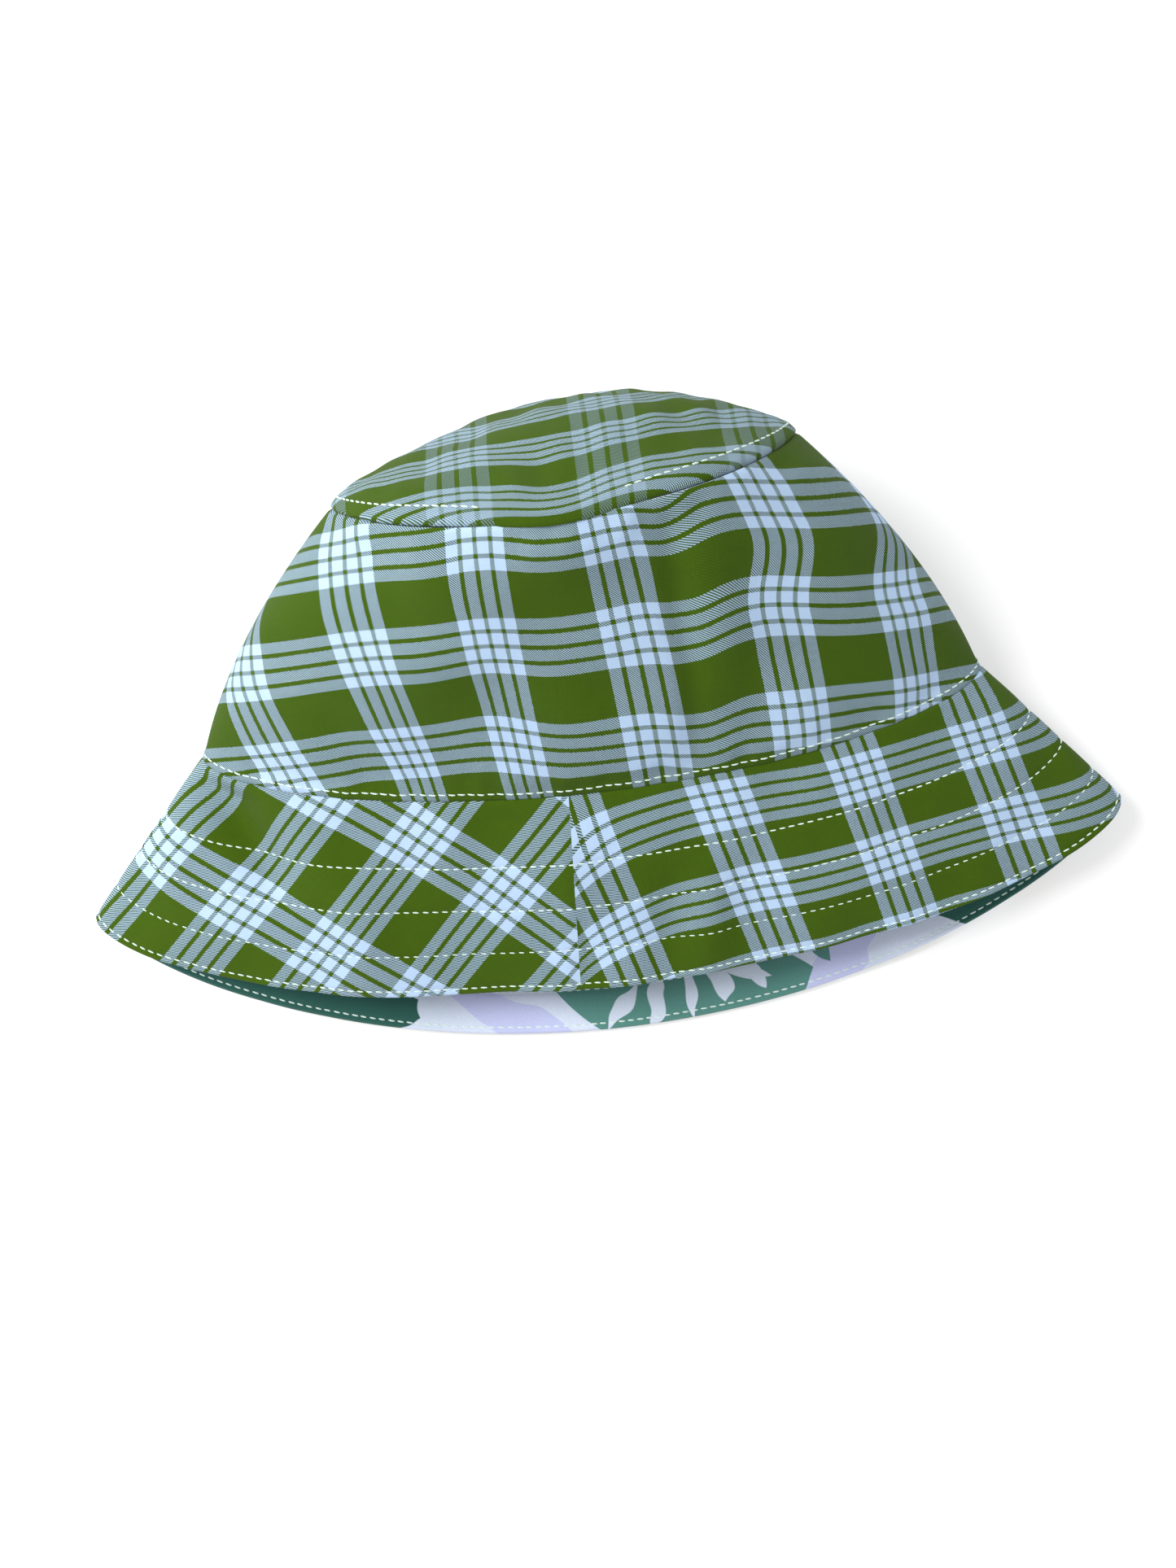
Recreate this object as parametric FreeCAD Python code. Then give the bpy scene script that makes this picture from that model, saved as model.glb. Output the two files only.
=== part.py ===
"""A reversible cotton bucket hat that lies on its back, half flattened: its front rests a hand's breadth above its back.

Every cloth piece follows one shape, the hollow that the hat encloses. A point of that shape is given by a turn
round the head and a way down the hat, and each piece is a layer of cloth at a stated height above it.
Millimetres. X runs across the head, Y from the brim to the tip of the crown, Z up from what the hat lies on.
"""

import FreeCAD, Part
import math
import os

# Loops of the hollow: half width across the side folds, then (y, z) at the folds, the front and the back.
SEAM_HALF_WIDTH = 126.0
SEAM_FOLD, SEAM_FRONT, SEAM_BACK = (49.0, 18.0), (24.5, 40.0), (9.0, 3.4)
EDGE_HALF_WIDTH = 170.0
EDGE_FOLD, EDGE_FRONT, EDGE_BACK = (0.0, 9.0), (-39.0, 20.0), (-56.0, 3.4)
TIP_HALF_WIDTH = 72.0
TIP_FOLD, TIP_FRONT, TIP_BACK = (124.0, 43.0), (103.0, 95.0), (107.0, 3.2)
TIP_CENTRE = (149.0, 42.0)  # (y, z) of the middle of the tip, which bulges away from the brim
TIP_SLANT = 0.045  # the tip lies further from the brim at +X by this share of x

# How full the loops and the cloth between them are.
FRONT_BOW, BACK_BOW = 1.3, 1.5
FRONT_RISE, BACK_DROP = 0.9, 0.72
TIP_ROUNDNESS = 0.72
SIDE_BULGE = 3.0  # the crown's front stands this far off a straight line
SIDE_FULLNESS = 6.5  # and its side folds stand this far out from one
BACK_SAG = 1.8  # the crown's back sags this far, which flattens it on what it lies on

# Cloth.
CLOTH = 0.6
LINING_CLOTH = 0.5
INTERFACING = 0.8
THREAD = 0.33
THREAD_WIDTH = 0.9
LAYER_GAP = 0.1
THREAD_GAP = 0.22
TIP_THREAD_GAP = 0.25  # the tip bends hard beside its seam
PIECE_GAP = 0.8  # between pieces that a seam joins, along the cloth

# Stitching: shares of the way from the crown seam to the brim's edge, and distances from the two crown seams.
BRIM_ROWS = (0.34, 0.565, 0.785, 0.965)
TOPSTITCH_INSET = 2.6

# Turns, in degrees: 0 is the fold at +X, 90 the front, 180 the fold at -X and 270 the back.
SIDE_SEAM = 14.0  # the crown's side seams lie this far behind the folds
SIDE_SEAM_HALF_GAP = 0.5
BRIM_FRONT_SEAM = 94.7
OUTER_BRIM_BACK_SEAM = 270.0
LINING_BRIM_BACK_SEAM = 251.4

# Columns of points, shared by all layers so that they stay apart: close together at the side folds.
COLUMN_STEP = 2.5
COLUMN_CROWDING = 0.6

# The front of the brim turns up about a line across the hat at the crown seam, on top of the cloth.
FLAP_HALF_TURN = 33.5
FLAP_GAP = 0.6

# Heights of the layers above the hollow.
LINING_THREAD_AT = 0.0
LINING_AT = LINING_THREAD_AT + THREAD + THREAD_GAP
INTERFACING_AT = LINING_AT + LINING_CLOTH + LAYER_GAP
BRIM_CLOTH_AT = INTERFACING_AT + INTERFACING + LAYER_GAP
BRIM_THREAD_AT = BRIM_CLOTH_AT + CLOTH + THREAD_GAP
CROWN_CLOTH_AT = LINING_AT + LINING_CLOTH + 2 * LAYER_GAP
CROWN_THREAD_AT = CROWN_CLOTH_AT + CLOTH + THREAD_GAP
TIP_THREAD_AT = CROWN_CLOTH_AT + CLOTH + TIP_THREAD_GAP

BRIM_WIDTH = math.dist(SEAM_FRONT, EDGE_FRONT)
SIDE_WIDTH = math.dist(SEAM_FRONT, TIP_FRONT)
FLAP_TURNS = (90.0 - FLAP_HALF_TURN, 90.0 + FLAP_HALF_TURN)


def loop(turn, half_width, fold, front, back):
    """A point of a loop round the hollow: an oval whose front and back halves have their own depth and height."""
    across, depth = math.cos(math.radians(turn)), math.sin(math.radians(turn))
    middle, bow, rise = (front, FRONT_BOW, FRONT_RISE) if depth >= 0 else (back, BACK_BOW, BACK_DROP)
    depth = abs(depth)
    y = fold[0] + (middle[0] - fold[0]) * depth**bow
    z = fold[1] + (middle[1] - fold[1]) * depth**rise
    return FreeCAD.Vector(half_width * across, y, z)


def seam_loop(turn):
    return loop(turn, SEAM_HALF_WIDTH, SEAM_FOLD, SEAM_FRONT, SEAM_BACK)


def edge_loop(turn):
    return loop(turn, EDGE_HALF_WIDTH, EDGE_FOLD, EDGE_FRONT, EDGE_BACK)


def slanted(point):
    return point + FreeCAD.Vector(0, TIP_SLANT * point.x, 0)


def tip_loop(turn):
    return slanted(loop(turn, TIP_HALF_WIDTH, TIP_FOLD, TIP_FRONT, TIP_BACK))


def brim(turn, way):
    """The brim's hollow: way 0 is the crown seam and 1 the brim's edge."""
    start = seam_loop(turn)
    return start + (edge_loop(turn) - start) * way


def side(turn, way):
    """The side band's hollow: way 0 is the crown seam and 1 the tip seam."""
    start = seam_loop(turn)
    across, depth = math.cos(math.radians(turn)), math.sin(math.radians(turn))
    swell = 4 * way * (1 - way)
    height = (SIDE_BULGE if depth >= 0 else -BACK_SAG) * depth**2
    return start + (tip_loop(turn) - start) * way + FreeCAD.Vector(SIDE_FULLNESS * across, 0, height) * swell


def tip(turn, way):
    """The tip's hollow: way 0 is its middle and 1 the tip seam."""
    rim = loop(turn, TIP_HALF_WIDTH, TIP_FOLD, TIP_FRONT, TIP_BACK)
    dome = max(0.0, 1 - way * way) ** TIP_ROUNDNESS
    y = rim.y + (TIP_CENTRE[0] - rim.y) * dome
    return slanted(FreeCAD.Vector(rim.x * way, y, TIP_CENTRE[1] + (rim.z - TIP_CENTRE[1]) * way))


def lifted(shape, turn, way, height):
    """The point of a shape, moved out along the shape's normal."""
    turn_step, way_step = 0.3, 0.01
    near = min(max(way, 3 * way_step), 1 - way_step / 10)
    low, high = near - way_step, min(near + way_step, 1 - way_step / 10)
    round_head = shape(turn + turn_step, near) - shape(turn - turn_step, near)
    down_hat = shape(turn, high) - shape(turn, low)
    normal = round_head.cross(down_hat)
    if shape is side:
        normal = -normal
    return shape(turn, way) + normal.normalize() * height


def solid_between(low_grid, high_grid):
    """A closed solid between two grids of points, with ruled walls round its edge."""
    surfaces = []
    for grid in (low_grid, high_grid):
        surface = Part.BSplineSurface()
        surface.interpolate(grid)
        surfaces.append(surface)
    faces = [surface.toShape() for surface in surfaces]
    bounds = [surface.bounds() for surface in surfaces]
    for name, index in (("uIso", 0), ("uIso", 1), ("vIso", 2), ("vIso", 3)):
        rims = [getattr(s, name)(b[index]).toShape() for s, b in zip(surfaces, bounds)]
        faces.append(Part.makeRuledSurface(*rims, 1))
    shell = Part.makeShell(faces)
    shell.sewShape()
    solid = Part.Solid(shell)
    if solid.Volume < 0:
        solid.reverse()
    return solid


def spread(turn):
    """A measure of the turn that grows evenly from column to column."""
    return turn + COLUMN_CROWDING * math.degrees(math.sin(2 * math.radians(turn))) / 2


def unspread(value):
    low, high = value - 60, value + 60
    for _ in range(50):
        middle = (low + high) / 2
        low, high = (middle, high) if spread(middle) < value else (low, middle)
    return low


def turns_between(first, last):
    """The first turn, the shared columns after it, and the last turn."""
    margin = 0.3
    start, end = spread(first) / COLUMN_STEP, spread(last) / COLUMN_STEP
    columns = range(math.ceil(start + margin), math.floor(end - margin) + 1)
    return [first] + [unspread(column * COLUMN_STEP) for column in columns] + [last]


def layer(shape, turns, ways, height, thickness, rows):
    """A layer of cloth over a stretch of a shape, from one turn to another and from one way to another."""
    first, last = ways
    grids = []
    for level in (height, height + thickness):
        steps = [first + (last - first) * i / rows for i in range(rows + 1)]
        grids.append([[lifted(shape, turn, way, level) for way in steps] for turn in turns_between(*turns)])
    return solid_between(*grids)


def tip_layer(height, thickness, inset):
    """A layer of cloth over the whole tip, on a square grid bent into the tip's oval, finer towards its rim."""
    steps = 16
    lines = [math.sin(math.pi * (i / steps - 0.5)) for i in range(steps + 1)]
    grids = []
    for level in (height, height + thickness):
        grid = []
        for u in lines:
            line = []
            for v in lines:
                across, up = u * math.sqrt(1 - v * v / 2), v * math.sqrt(1 - u * u / 2)
                way = math.hypot(across, up)
                turn = math.degrees(math.atan2(up, across)) % 360
                line.append(lifted(tip, turn, way * (1 - inset), level))
            grid.append(line)
        grids.append(grid)
    return solid_between(*grids)


def turn_gap(width, half_width):
    """The turn, in degrees, that a width takes along the middle of the hat's front or back."""
    return math.degrees(width / half_width)


def stitch_row(shape, way, width_share, height, turns):
    """A row of stitching as a narrow flat strip on the cloth."""
    return layer(shape, turns, (way - width_share / 2, way + width_share / 2), height, THREAD, 3)


def brim_pieces(name, back_seam, height, thickness):
    """The two halves of one of the brim's cloths, each as the part that stays and the front part that turns up."""
    join = turn_gap(PIECE_GAP / 4, EDGE_HALF_WIDTH)
    cut = turn_gap(FLAP_GAP / 2, SEAM_HALF_WIDTH)
    ways = (PIECE_GAP / BRIM_WIDTH, 1.0)
    flap_ways = ((PIECE_GAP + FLAP_GAP) / BRIM_WIDTH, 1.0)
    sectors = {
        f"{name}_right": ((back_seam - 360 + join, FLAP_TURNS[0] - cut), ways),
        f"{name}_front_right": ((FLAP_TURNS[0] + cut, BRIM_FRONT_SEAM - join), flap_ways),
        f"{name}_front_left": ((BRIM_FRONT_SEAM + join, FLAP_TURNS[1] - cut), flap_ways),
        f"{name}_left": ((FLAP_TURNS[1] + cut, back_seam - join), ways),
    }
    return {node: layer(brim, turns, span, height, thickness, 6) for node, (turns, span) in sectors.items()}


def crown_pieces(name, height, thickness):
    """The crown's tip and the two halves of its side band, in one of the two cloths."""
    start, end = PIECE_GAP / SIDE_WIDTH, 1 - PIECE_GAP / 2 / SIDE_WIDTH
    front = (SIDE_SEAM_HALF_GAP - SIDE_SEAM, 180 + SIDE_SEAM - SIDE_SEAM_HALF_GAP)
    back = (180 + SIDE_SEAM + SIDE_SEAM_HALF_GAP, 360 - SIDE_SEAM - SIDE_SEAM_HALF_GAP)
    inset = PIECE_GAP / 2 / TIP_HALF_WIDTH
    return {
        f"{name}_tip": tip_layer(height, thickness, inset),
        f"{name}_side_front": layer(side, front, (start, end), height, thickness, 8),
        f"{name}_side_back": layer(side, back, (start, end), height, thickness, 8),
    }


def stitching():
    """Four rows round each face of the brim, split where its front turns up, and a row beside each crown seam."""
    rows = {}
    cut = turn_gap(FLAP_GAP / 2, SEAM_HALF_WIDTH)
    front = (FLAP_TURNS[0] + cut, FLAP_TURNS[1] - cut)
    rest = (FLAP_TURNS[1] + cut, FLAP_TURNS[0] - cut + 360)
    share = THREAD_WIDTH / BRIM_WIDTH
    for face, height in (("outer", BRIM_THREAD_AT), ("lining", LINING_THREAD_AT)):
        for number, way in enumerate(BRIM_ROWS, start=1):
            rows[f"{face}_brim_stitch_row_{number}"] = stitch_row(brim, way, share, height, rest)
            rows[f"{face}_brim_front_stitch_row_{number}"] = stitch_row(brim, way, share, height, front)
    round_crown = (-89.8, 269.8)
    side_share = THREAD_WIDTH / SIDE_WIDTH
    at = (PIECE_GAP + TOPSTITCH_INSET) / SIDE_WIDTH
    rows["crown_seam_topstitch"] = stitch_row(side, at, side_share, CROWN_THREAD_AT, round_crown)
    tip_share = THREAD_WIDTH / TIP_HALF_WIDTH
    at = 1 - (PIECE_GAP + TOPSTITCH_INSET / 2) / TIP_HALF_WIDTH
    rows["tip_seam_topstitch"] = stitch_row(tip, at, tip_share, TIP_THREAD_AT, round_crown)
    return rows


def flattened(solid):
    """A cloth that the hat lies on, with a true plane where it meets what is under it."""
    box, margin = solid.BoundBox, 10
    corner = FreeCAD.Vector(box.XMin - margin, box.YMin - margin, -margin)
    below = Part.makeBox(box.XLength + 2 * margin, box.YLength + 2 * margin, margin, corner)
    return solid.cut(below).Solids[0]


def main():
    nodes = {}
    nodes.update(crown_pieces("outer", CROWN_CLOTH_AT, CLOTH))
    nodes.update(crown_pieces("lining", LINING_AT, LINING_CLOTH))
    nodes.update(brim_pieces("outer_brim", OUTER_BRIM_BACK_SEAM, BRIM_CLOTH_AT, CLOTH))
    nodes.update(brim_pieces("brim_interfacing", OUTER_BRIM_BACK_SEAM, INTERFACING_AT, INTERFACING))
    nodes.update(brim_pieces("lining_brim", LINING_BRIM_BACK_SEAM, LINING_AT, LINING_CLOTH))
    nodes.update(stitching())
    nodes["outer_side_back"] = flattened(nodes["outer_side_back"])

    box = Part.makeCompound(list(nodes.values())).optimalBoundingBox()
    to_origin = FreeCAD.Vector(-box.Center.x, -box.Center.y, 0)
    os.makedirs("parts", exist_ok=True)
    for name, shape in nodes.items():
        shape.translate(to_origin)
        shape.exportStep(f"parts/{name}.step")
        print(f"{name:34s} {shape.ShapeType} valid {shape.isValid()} volume {shape.Volume:.0f}")
    print("moved to the origin by", to_origin, "box", box)


main()
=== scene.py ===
"""Looks of a reversible bucket hat that lies on its back: woven plaid outside, leaf print lining inside.

Every cloth follows one hollow, given by a turn round the head and a way down the hat. Turns 0 and 180 degrees
are the side folds, 90 is the front and 270 the back. Lengths are in millimetres until a mesh is made.
"""

import math

import bpy
import numpy as np
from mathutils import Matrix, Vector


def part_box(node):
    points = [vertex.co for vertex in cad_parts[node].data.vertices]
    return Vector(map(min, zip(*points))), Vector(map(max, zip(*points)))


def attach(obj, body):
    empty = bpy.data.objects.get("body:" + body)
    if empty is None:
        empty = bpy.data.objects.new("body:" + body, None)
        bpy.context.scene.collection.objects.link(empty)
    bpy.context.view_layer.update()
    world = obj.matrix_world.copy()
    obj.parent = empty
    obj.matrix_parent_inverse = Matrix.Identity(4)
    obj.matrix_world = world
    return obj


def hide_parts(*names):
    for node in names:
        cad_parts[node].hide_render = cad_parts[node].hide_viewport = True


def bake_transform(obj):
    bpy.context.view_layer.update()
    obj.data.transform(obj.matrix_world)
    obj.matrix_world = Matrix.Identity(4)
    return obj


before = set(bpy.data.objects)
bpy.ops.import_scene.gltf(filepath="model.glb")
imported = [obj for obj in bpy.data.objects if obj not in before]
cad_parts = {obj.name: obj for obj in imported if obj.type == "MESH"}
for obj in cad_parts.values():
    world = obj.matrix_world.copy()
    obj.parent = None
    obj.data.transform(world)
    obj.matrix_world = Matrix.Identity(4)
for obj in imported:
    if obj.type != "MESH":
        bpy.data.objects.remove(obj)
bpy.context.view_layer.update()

# The hollow's loops: half width, then (y, z) at the folds, the front and the back.
SEAM = (126.0, (49.0, 18.0), (24.5, 40.0), (9.0, 3.4))
EDGE = (170.0, (0.0, 9.0), (-39.0, 20.0), (-56.0, 3.4))
RIM = (72.0, (124.0, 43.0), (103.0, 95.0), (107.0, 3.2))
TIP_CENTRE = (149.0, 42.0)
TIP_SLANT = 0.045  # the tip lies further from the brim at +X by this share of X
TIP_SETTLE = 4.0  # the middle of the tip stands this much nearer the brim than its solid
FRONT_BOW, BACK_BOW = 1.3, 1.5
FRONT_RISE, BACK_DROP = 0.9, 0.72
SIDE_BULGE, BACK_SAG, SIDE_FULLNESS = 3.0, 1.8, 6.5
TIP_ROUNDNESS = 0.72

# Turns of the seams, in degrees.
SIDE_SEAM = 14.0
BRIM_FRONT_SEAM = 94.7
OUTER_BACK_SEAM = 270.0
LINING_BACK_SEAM = 251.4

# Heights of the cloth faces above the hollow.
LINING_FACE, LINING_TOP = 0.55, 1.05
INTERFACING_FACE, INTERFACING_TOP = 1.15, 1.95
BRIM_UNDER, BRIM_TOP = 2.05, 2.65
CROWN_UNDER, CROWN_TOP = 1.25, 1.85
SEAM_PROUD = 0.45
BRIM_EDGE_HEIGHT, CROWN_EDGE_HEIGHT, TIP_EDGE_HEIGHT = 1.55, 0.9, 0.7  # where the faces meet at a closed edge
THINNEST = 0.05

# Cloth that would lie lower than REST_EASE is eased up, and stays REST_CLEARANCE off the table.
REST_CLEARANCE, REST_EASE = 0.15, 2.0

# Stitching: how deep a row pulls the cloth in, the rows' ways, one stitch, and the topstitching's insets.
ROW_SINK, LINING_ROW_SINK = 0.3, 0.25
BRIM_ROWS = (0.34, 0.565, 0.785, 0.965)
STITCH_PITCH, STITCH_LENGTH, STITCH_RADIUS = 3.1, 2.75, 0.3
STITCH_SLACK = 0.12
STITCH_STEPS, STITCH_SIDES = 7, 6
CROWN_TOPSTITCH, TIP_TOPSTITCH = 3.2, 2.3
LIP_HIDES = 0.25  # no stitch shows where the lip of the tip seam is stronger than this

# Heights of the threads' middles above the hollow.
OUTER_ROW_HEIGHT = BRIM_TOP - ROW_SINK + 0.14
LINING_ROW_HEIGHT = LINING_FACE + 0.1
CROWN_ROW_HEIGHT = CROWN_TOP + 0.8 * SEAM_PROUD + 0.08
TIP_ROW_HEIGHT = CROWN_TOP + 0.55 * SEAM_PROUD + 0.08

# Flat widths of the cloths, from seam to seam.
BRIM_WIDTH = math.dist(SEAM[2], EDGE[2])
SIDE_WIDTH = math.dist(SEAM[2], RIM[2])

# The plaid's repeat, the bars and lines of one band, and the pitch of the woven threads.
REPEAT_U, REPEAT_V = 45.5, 35.7
BAR, LINE = 3.8, 1.5
PLAID_THREAD, LINING_THREAD = 0.21, 0.17

# Grid spacing of the cloths, along the loops.
BRIM_STEP, SIDE_STEP, TIP_STEP = 1.6, 1.3, 1.5
SIDE_BACK_TURNS = 150
SHARP_ANGLE = 55.0
WAVE_COUNT = 9

# The place of the hat in the frame: the CAD model is centred, and this model's Y starts at the side folds.
SHIFT_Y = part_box("outer_brim_left")[0][1] * 1000 - EDGE[3][0]


# ---------------------------------------------------------------- the hollow


def loop(turn, ring):
    """An oval loop: x = half width * cos; y and z go from the fold's to the middle's by |sin| to a power."""
    half_width, fold, front, back = ring
    depth = np.sin(np.radians(turn))
    is_front = depth >= 0
    depth = np.abs(depth)
    middle_y, middle_z = (np.where(is_front, front[i], back[i]) for i in (0, 1))
    y = fold[0] + (middle_y - fold[0]) * depth ** np.where(is_front, FRONT_BOW, BACK_BOW)
    z = fold[1] + (middle_z - fold[1]) * depth ** np.where(is_front, FRONT_RISE, BACK_DROP)
    return np.stack([half_width * np.cos(np.radians(turn)), y, z], axis=-1)


def slanted(point):
    """Moves Y up by a share of X, in place."""
    point[..., 1] += TIP_SLANT * point[..., 0]
    return point


def brim(turn, way):
    """Straight from the crown seam (0) to the brim's edge (1)."""
    return loop(turn, SEAM) * (1 - way[..., None]) + loop(turn, EDGE) * way[..., None]


def side(turn, way):
    """Straight from the crown seam (0) to the tip seam (1), swollen at the front and sagging at the back."""
    point = loop(turn, SEAM) * (1 - way[..., None]) + slanted(loop(turn, RIM)) * way[..., None]
    swell = 4 * way * (1 - way)
    depth = np.sin(np.radians(turn))
    point[..., 0] += swell * SIDE_FULLNESS * np.cos(np.radians(turn))
    point[..., 2] += swell * depth**2 * np.where(depth >= 0, SIDE_BULGE, -BACK_SAG)
    return point


def tip(turn, way):
    """A dome on the tip seam, from its middle (0) to the seam (1): height is (1 - way squared) to a power."""
    rim = loop(turn, RIM)
    dome = np.maximum(0.0, 1 - way**2) ** TIP_ROUNDNESS
    y = rim[..., 1] + (TIP_CENTRE[0] - rim[..., 1]) * dome
    z = TIP_CENTRE[1] + (rim[..., 2] - TIP_CENTRE[1]) * way
    return slanted(np.stack([rim[..., 0] * way, y, z], axis=-1))


def normals(shape, turn, way):
    """Outward normals, from central differences."""
    near = np.clip(way, 0.03, 0.999)
    round_head = shape(turn + 0.3, near) - shape(turn - 0.3, near)
    down_hat = shape(turn, np.minimum(near + 0.01, 0.999)) - shape(turn, near - 0.01)
    normal = np.cross(round_head, down_hat)
    normal /= np.linalg.norm(normal, axis=-1, keepdims=True)
    return -normal if shape is side else normal


# ---------------------------------------------------------------- wrinkles


def hill(value, centre, width):
    """A smooth hill of height 1."""
    return np.exp(-(((value - centre) / width) ** 2))


def ramp(value, low, high):
    """0 below low, 1 above high, smooth between."""
    t = np.clip((value - low) / (high - low), 0, 1)
    return t * t * (3 - 2 * t)


def waves(x, y, seed, size):
    """Smooth noise about 1 high: a sum of sine waves of about the given wavelength in seeded directions."""
    random = np.random.default_rng(seed)
    total = 0
    for _ in range(WAVE_COUNT):
        heading, phase = random.uniform(0, 2 * math.pi, 2)
        pace = 2 * math.pi / (size * random.uniform(0.7, 1.6))
        total = total + np.sin((x * math.cos(heading) + y * math.sin(heading)) * pace + phase)
    return total / math.sqrt(WAVE_COUNT)


# Each fold: its height, its lean (X moves by this share of Y), its X and half width, its way and half length.
BRIM_DENT = (-7.0, 0.35, -107, 9, 0.24, 0.3)
BRIM_FOLDS = (
    (2.6, 0.35, -86, 10, 0.45, 0.45),  # beside the dent
    (1.6, -0.15, 34, 7, 0.8, 0.35),
    (-1.1, -0.15, 20, 7, 0.75, 0.4),
)
SIDE_FOLDS = (
    (2.0, 0.0, -44, 11, 0.95, 0.3),  # under the left of the tip
    (-1.8, 0.5, -52, 9, 0.3, 0.3),
)


def fold(x, y, way, shape_of_fold):
    """One fold: a hill across its leaning line times a hill along the way."""
    height, lean, middle, width, way_middle, way_width = shape_of_fold
    return height * hill(x + lean * y, middle, width) * hill(way, way_middle, way_width)


def brim_wrinkle(turn, way, point):
    """Soft waves, a dent near the left fold with folds beside it, and a pucker along the front seam."""
    x, y = point[..., 0], point[..., 1]
    depth = np.sin(np.radians(turn))
    front, back = ramp(depth, 0.02, 0.25), 1 - ramp(depth, -0.25, -0.02)
    lift = 1.3 * waves(x, y, 3, 70) * way + 0.45 * waves(x, y, 4, 26) * ramp(way, 0.0, 0.12)
    lift = lift + fold(x, y, way, BRIM_DENT) * ramp(way, 0.0, 0.1)
    lift = lift + sum(fold(x, y, way, each) for each in BRIM_FOLDS)
    pucker = 0.5 * hill(x - 0.1 * y, -14, 4.0) * ramp(way, 0.05, 0.3)
    sag = np.abs(0.5 * waves(x, y, 5, 60)) * ramp(way, 0.2, 1.0)
    return front * (lift + pucker) - back * sag


def side_wrinkle(turn, way, point):
    """Soft bumps, a crease from the tip seam to the crown seam, and small puckers along both seams."""
    x, y = point[..., 0], point[..., 1]
    front = ramp(np.sin(np.radians(turn)), 0.05, 0.35)
    lift = 1.5 * waves(x, y, 11, 55) + 0.5 * waves(x, y, 12, 24)
    crease = 32.0 + 1.5 * np.sin(way * 5)
    lift = lift - 1.6 * hill(x, crease - 2.5, 4.5) * (0.35 + 0.65 * hill(way, 0.55, 0.4))
    lift = lift + 1.8 * hill(x, crease + 8, 8) * (0.3 + 0.7 * hill(way, 0.5, 0.4))
    lift = lift + sum(fold(x, y, way, each) for each in SIDE_FOLDS)
    lift = lift * ramp(way, 0.0, 0.1) * (1 - ramp(way, 0.88, 1.0))
    at_seams = hill(way, 0.06, 0.06) + hill(way, 0.94, 0.06)
    return front * (lift + 0.35 * waves(x, y * 0.2, 13, 9) * at_seams)


def tip_wrinkle(turn, way, point):
    """Long soft folds across the tip."""
    x, z = point[..., 0], point[..., 2]
    lift = 1.1 * waves(x * 0.5, z, 21, 42) * ramp(way, 0.0, 0.4) * (1 - ramp(way, 0.85, 1.0))
    return lift + 0.35 * waves(x, z, 22, 16) * (1 - ramp(way, 0.9, 1.0))


WRINKLES = {brim: brim_wrinkle, side: side_wrinkle, tip: tip_wrinkle}


def in_lip(x):
    """1 along the stretch of the tip seam, left of its middle, where the tip's cloth sags over it."""
    return hill(x, -4, 25) ** 2


def tip_lip(point, way):
    """The front of the tip sags over its seam as a lip: a move to the brim, strongest inside the seam."""
    over = in_lip(point[..., 0]) * ramp(way, 0.5, 0.95) * (1 - 0.5 * ramp(way, 0.97, 1.0))
    over = over * ramp(point[..., 2], 60, 85)
    return np.stack([0 * over, -5.0 * over, 2.0 * over], axis=-1)


def placed(shape, turn, way, height):
    """Points of a cloth face: the hollow, moved out by its height and wrinkles, and kept off the table."""
    base = shape(turn, way)
    point = base + normals(shape, turn, way) * (height + WRINKLES[shape](turn, way, base))[..., None]
    if shape is tip:
        point = point + tip_lip(base, way)
        point[..., 1] -= TIP_SETTLE * (1 - way**4)
    low = point[..., 2]
    eased = REST_CLEARANCE + (REST_EASE - REST_CLEARANCE) * np.exp((low - REST_EASE) / REST_EASE)
    point[..., 2] = np.where(low < REST_EASE, eased, low)
    point[..., 1] += SHIFT_Y
    return point


# ---------------------------------------------------------------- flat patterns


def run_round(shape, turns, way):
    """Length along a loop at each turn, counted from the front."""
    fine = np.linspace(-180, 360, 10801)
    line = shape(fine, np.full_like(fine, way))
    length = np.concatenate([[0], np.cumsum(np.linalg.norm(np.diff(line, axis=0), axis=1))])
    return np.interp(turns, fine, length) - np.interp(90.0, fine, length)


def even_turns(shape, way, first, last, spacing):
    """Turns from first to last, evenly spaced along the loop at a way."""
    fine = np.linspace(first, last, 4001)
    length = run_round(shape, fine, way)
    count = int((length[-1] - length[0]) / spacing) + 2
    return np.interp(np.linspace(length[0], length[-1], count), length, fine)


def full_length(shape, way):
    """Length of the whole loop at a way, from back to back."""
    return float(run_round(shape, np.array([270.0]), way)[0] - run_round(shape, np.array([-90.0]), way)[0])


def band_pattern(shape, turn, way, width):
    """Flat place on a band cut from a ring: polar angle from the run round the head, radius from the way.

    The ring's radius follows from how much longer the band is at one edge than at the other.
    X runs right from the front, and Y towards the tip from the crown seam.
    """
    first, last = full_length(shape, 0.0), full_length(shape, 0.999)
    radius = first * width / (last - first)
    reach = np.abs(radius + width * way)
    angle = run_round(shape, turn, 0.5) / abs(radius + width / 2)
    return -reach * np.sin(angle), abs(radius) - reach * np.cos(angle)


def edge_pattern(turn, way):
    """Place on the brim's printed lining: the run round its edge from the back's middle, and the way out."""
    run = run_round(brim, turn % 360, 0.8) - run_round(brim, np.array([270.0]), 0.8)
    return run + PRINT_REPEAT[0] / 2, way * BRIM_WIDTH


def grained(x, y, grain):
    """Places along the plaid's two repeats, in millimetres of cloth."""
    (ux, uy), (vx, vy), (start_x, start_y) = grain
    span = ux * vy - uy * vx
    across, along = x - start_x, y - start_y
    u = (across * vy - along * vx) / span * REPEAT_U
    v = (along * ux - across * uy) / span * REPEAT_V
    return u, v


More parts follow.
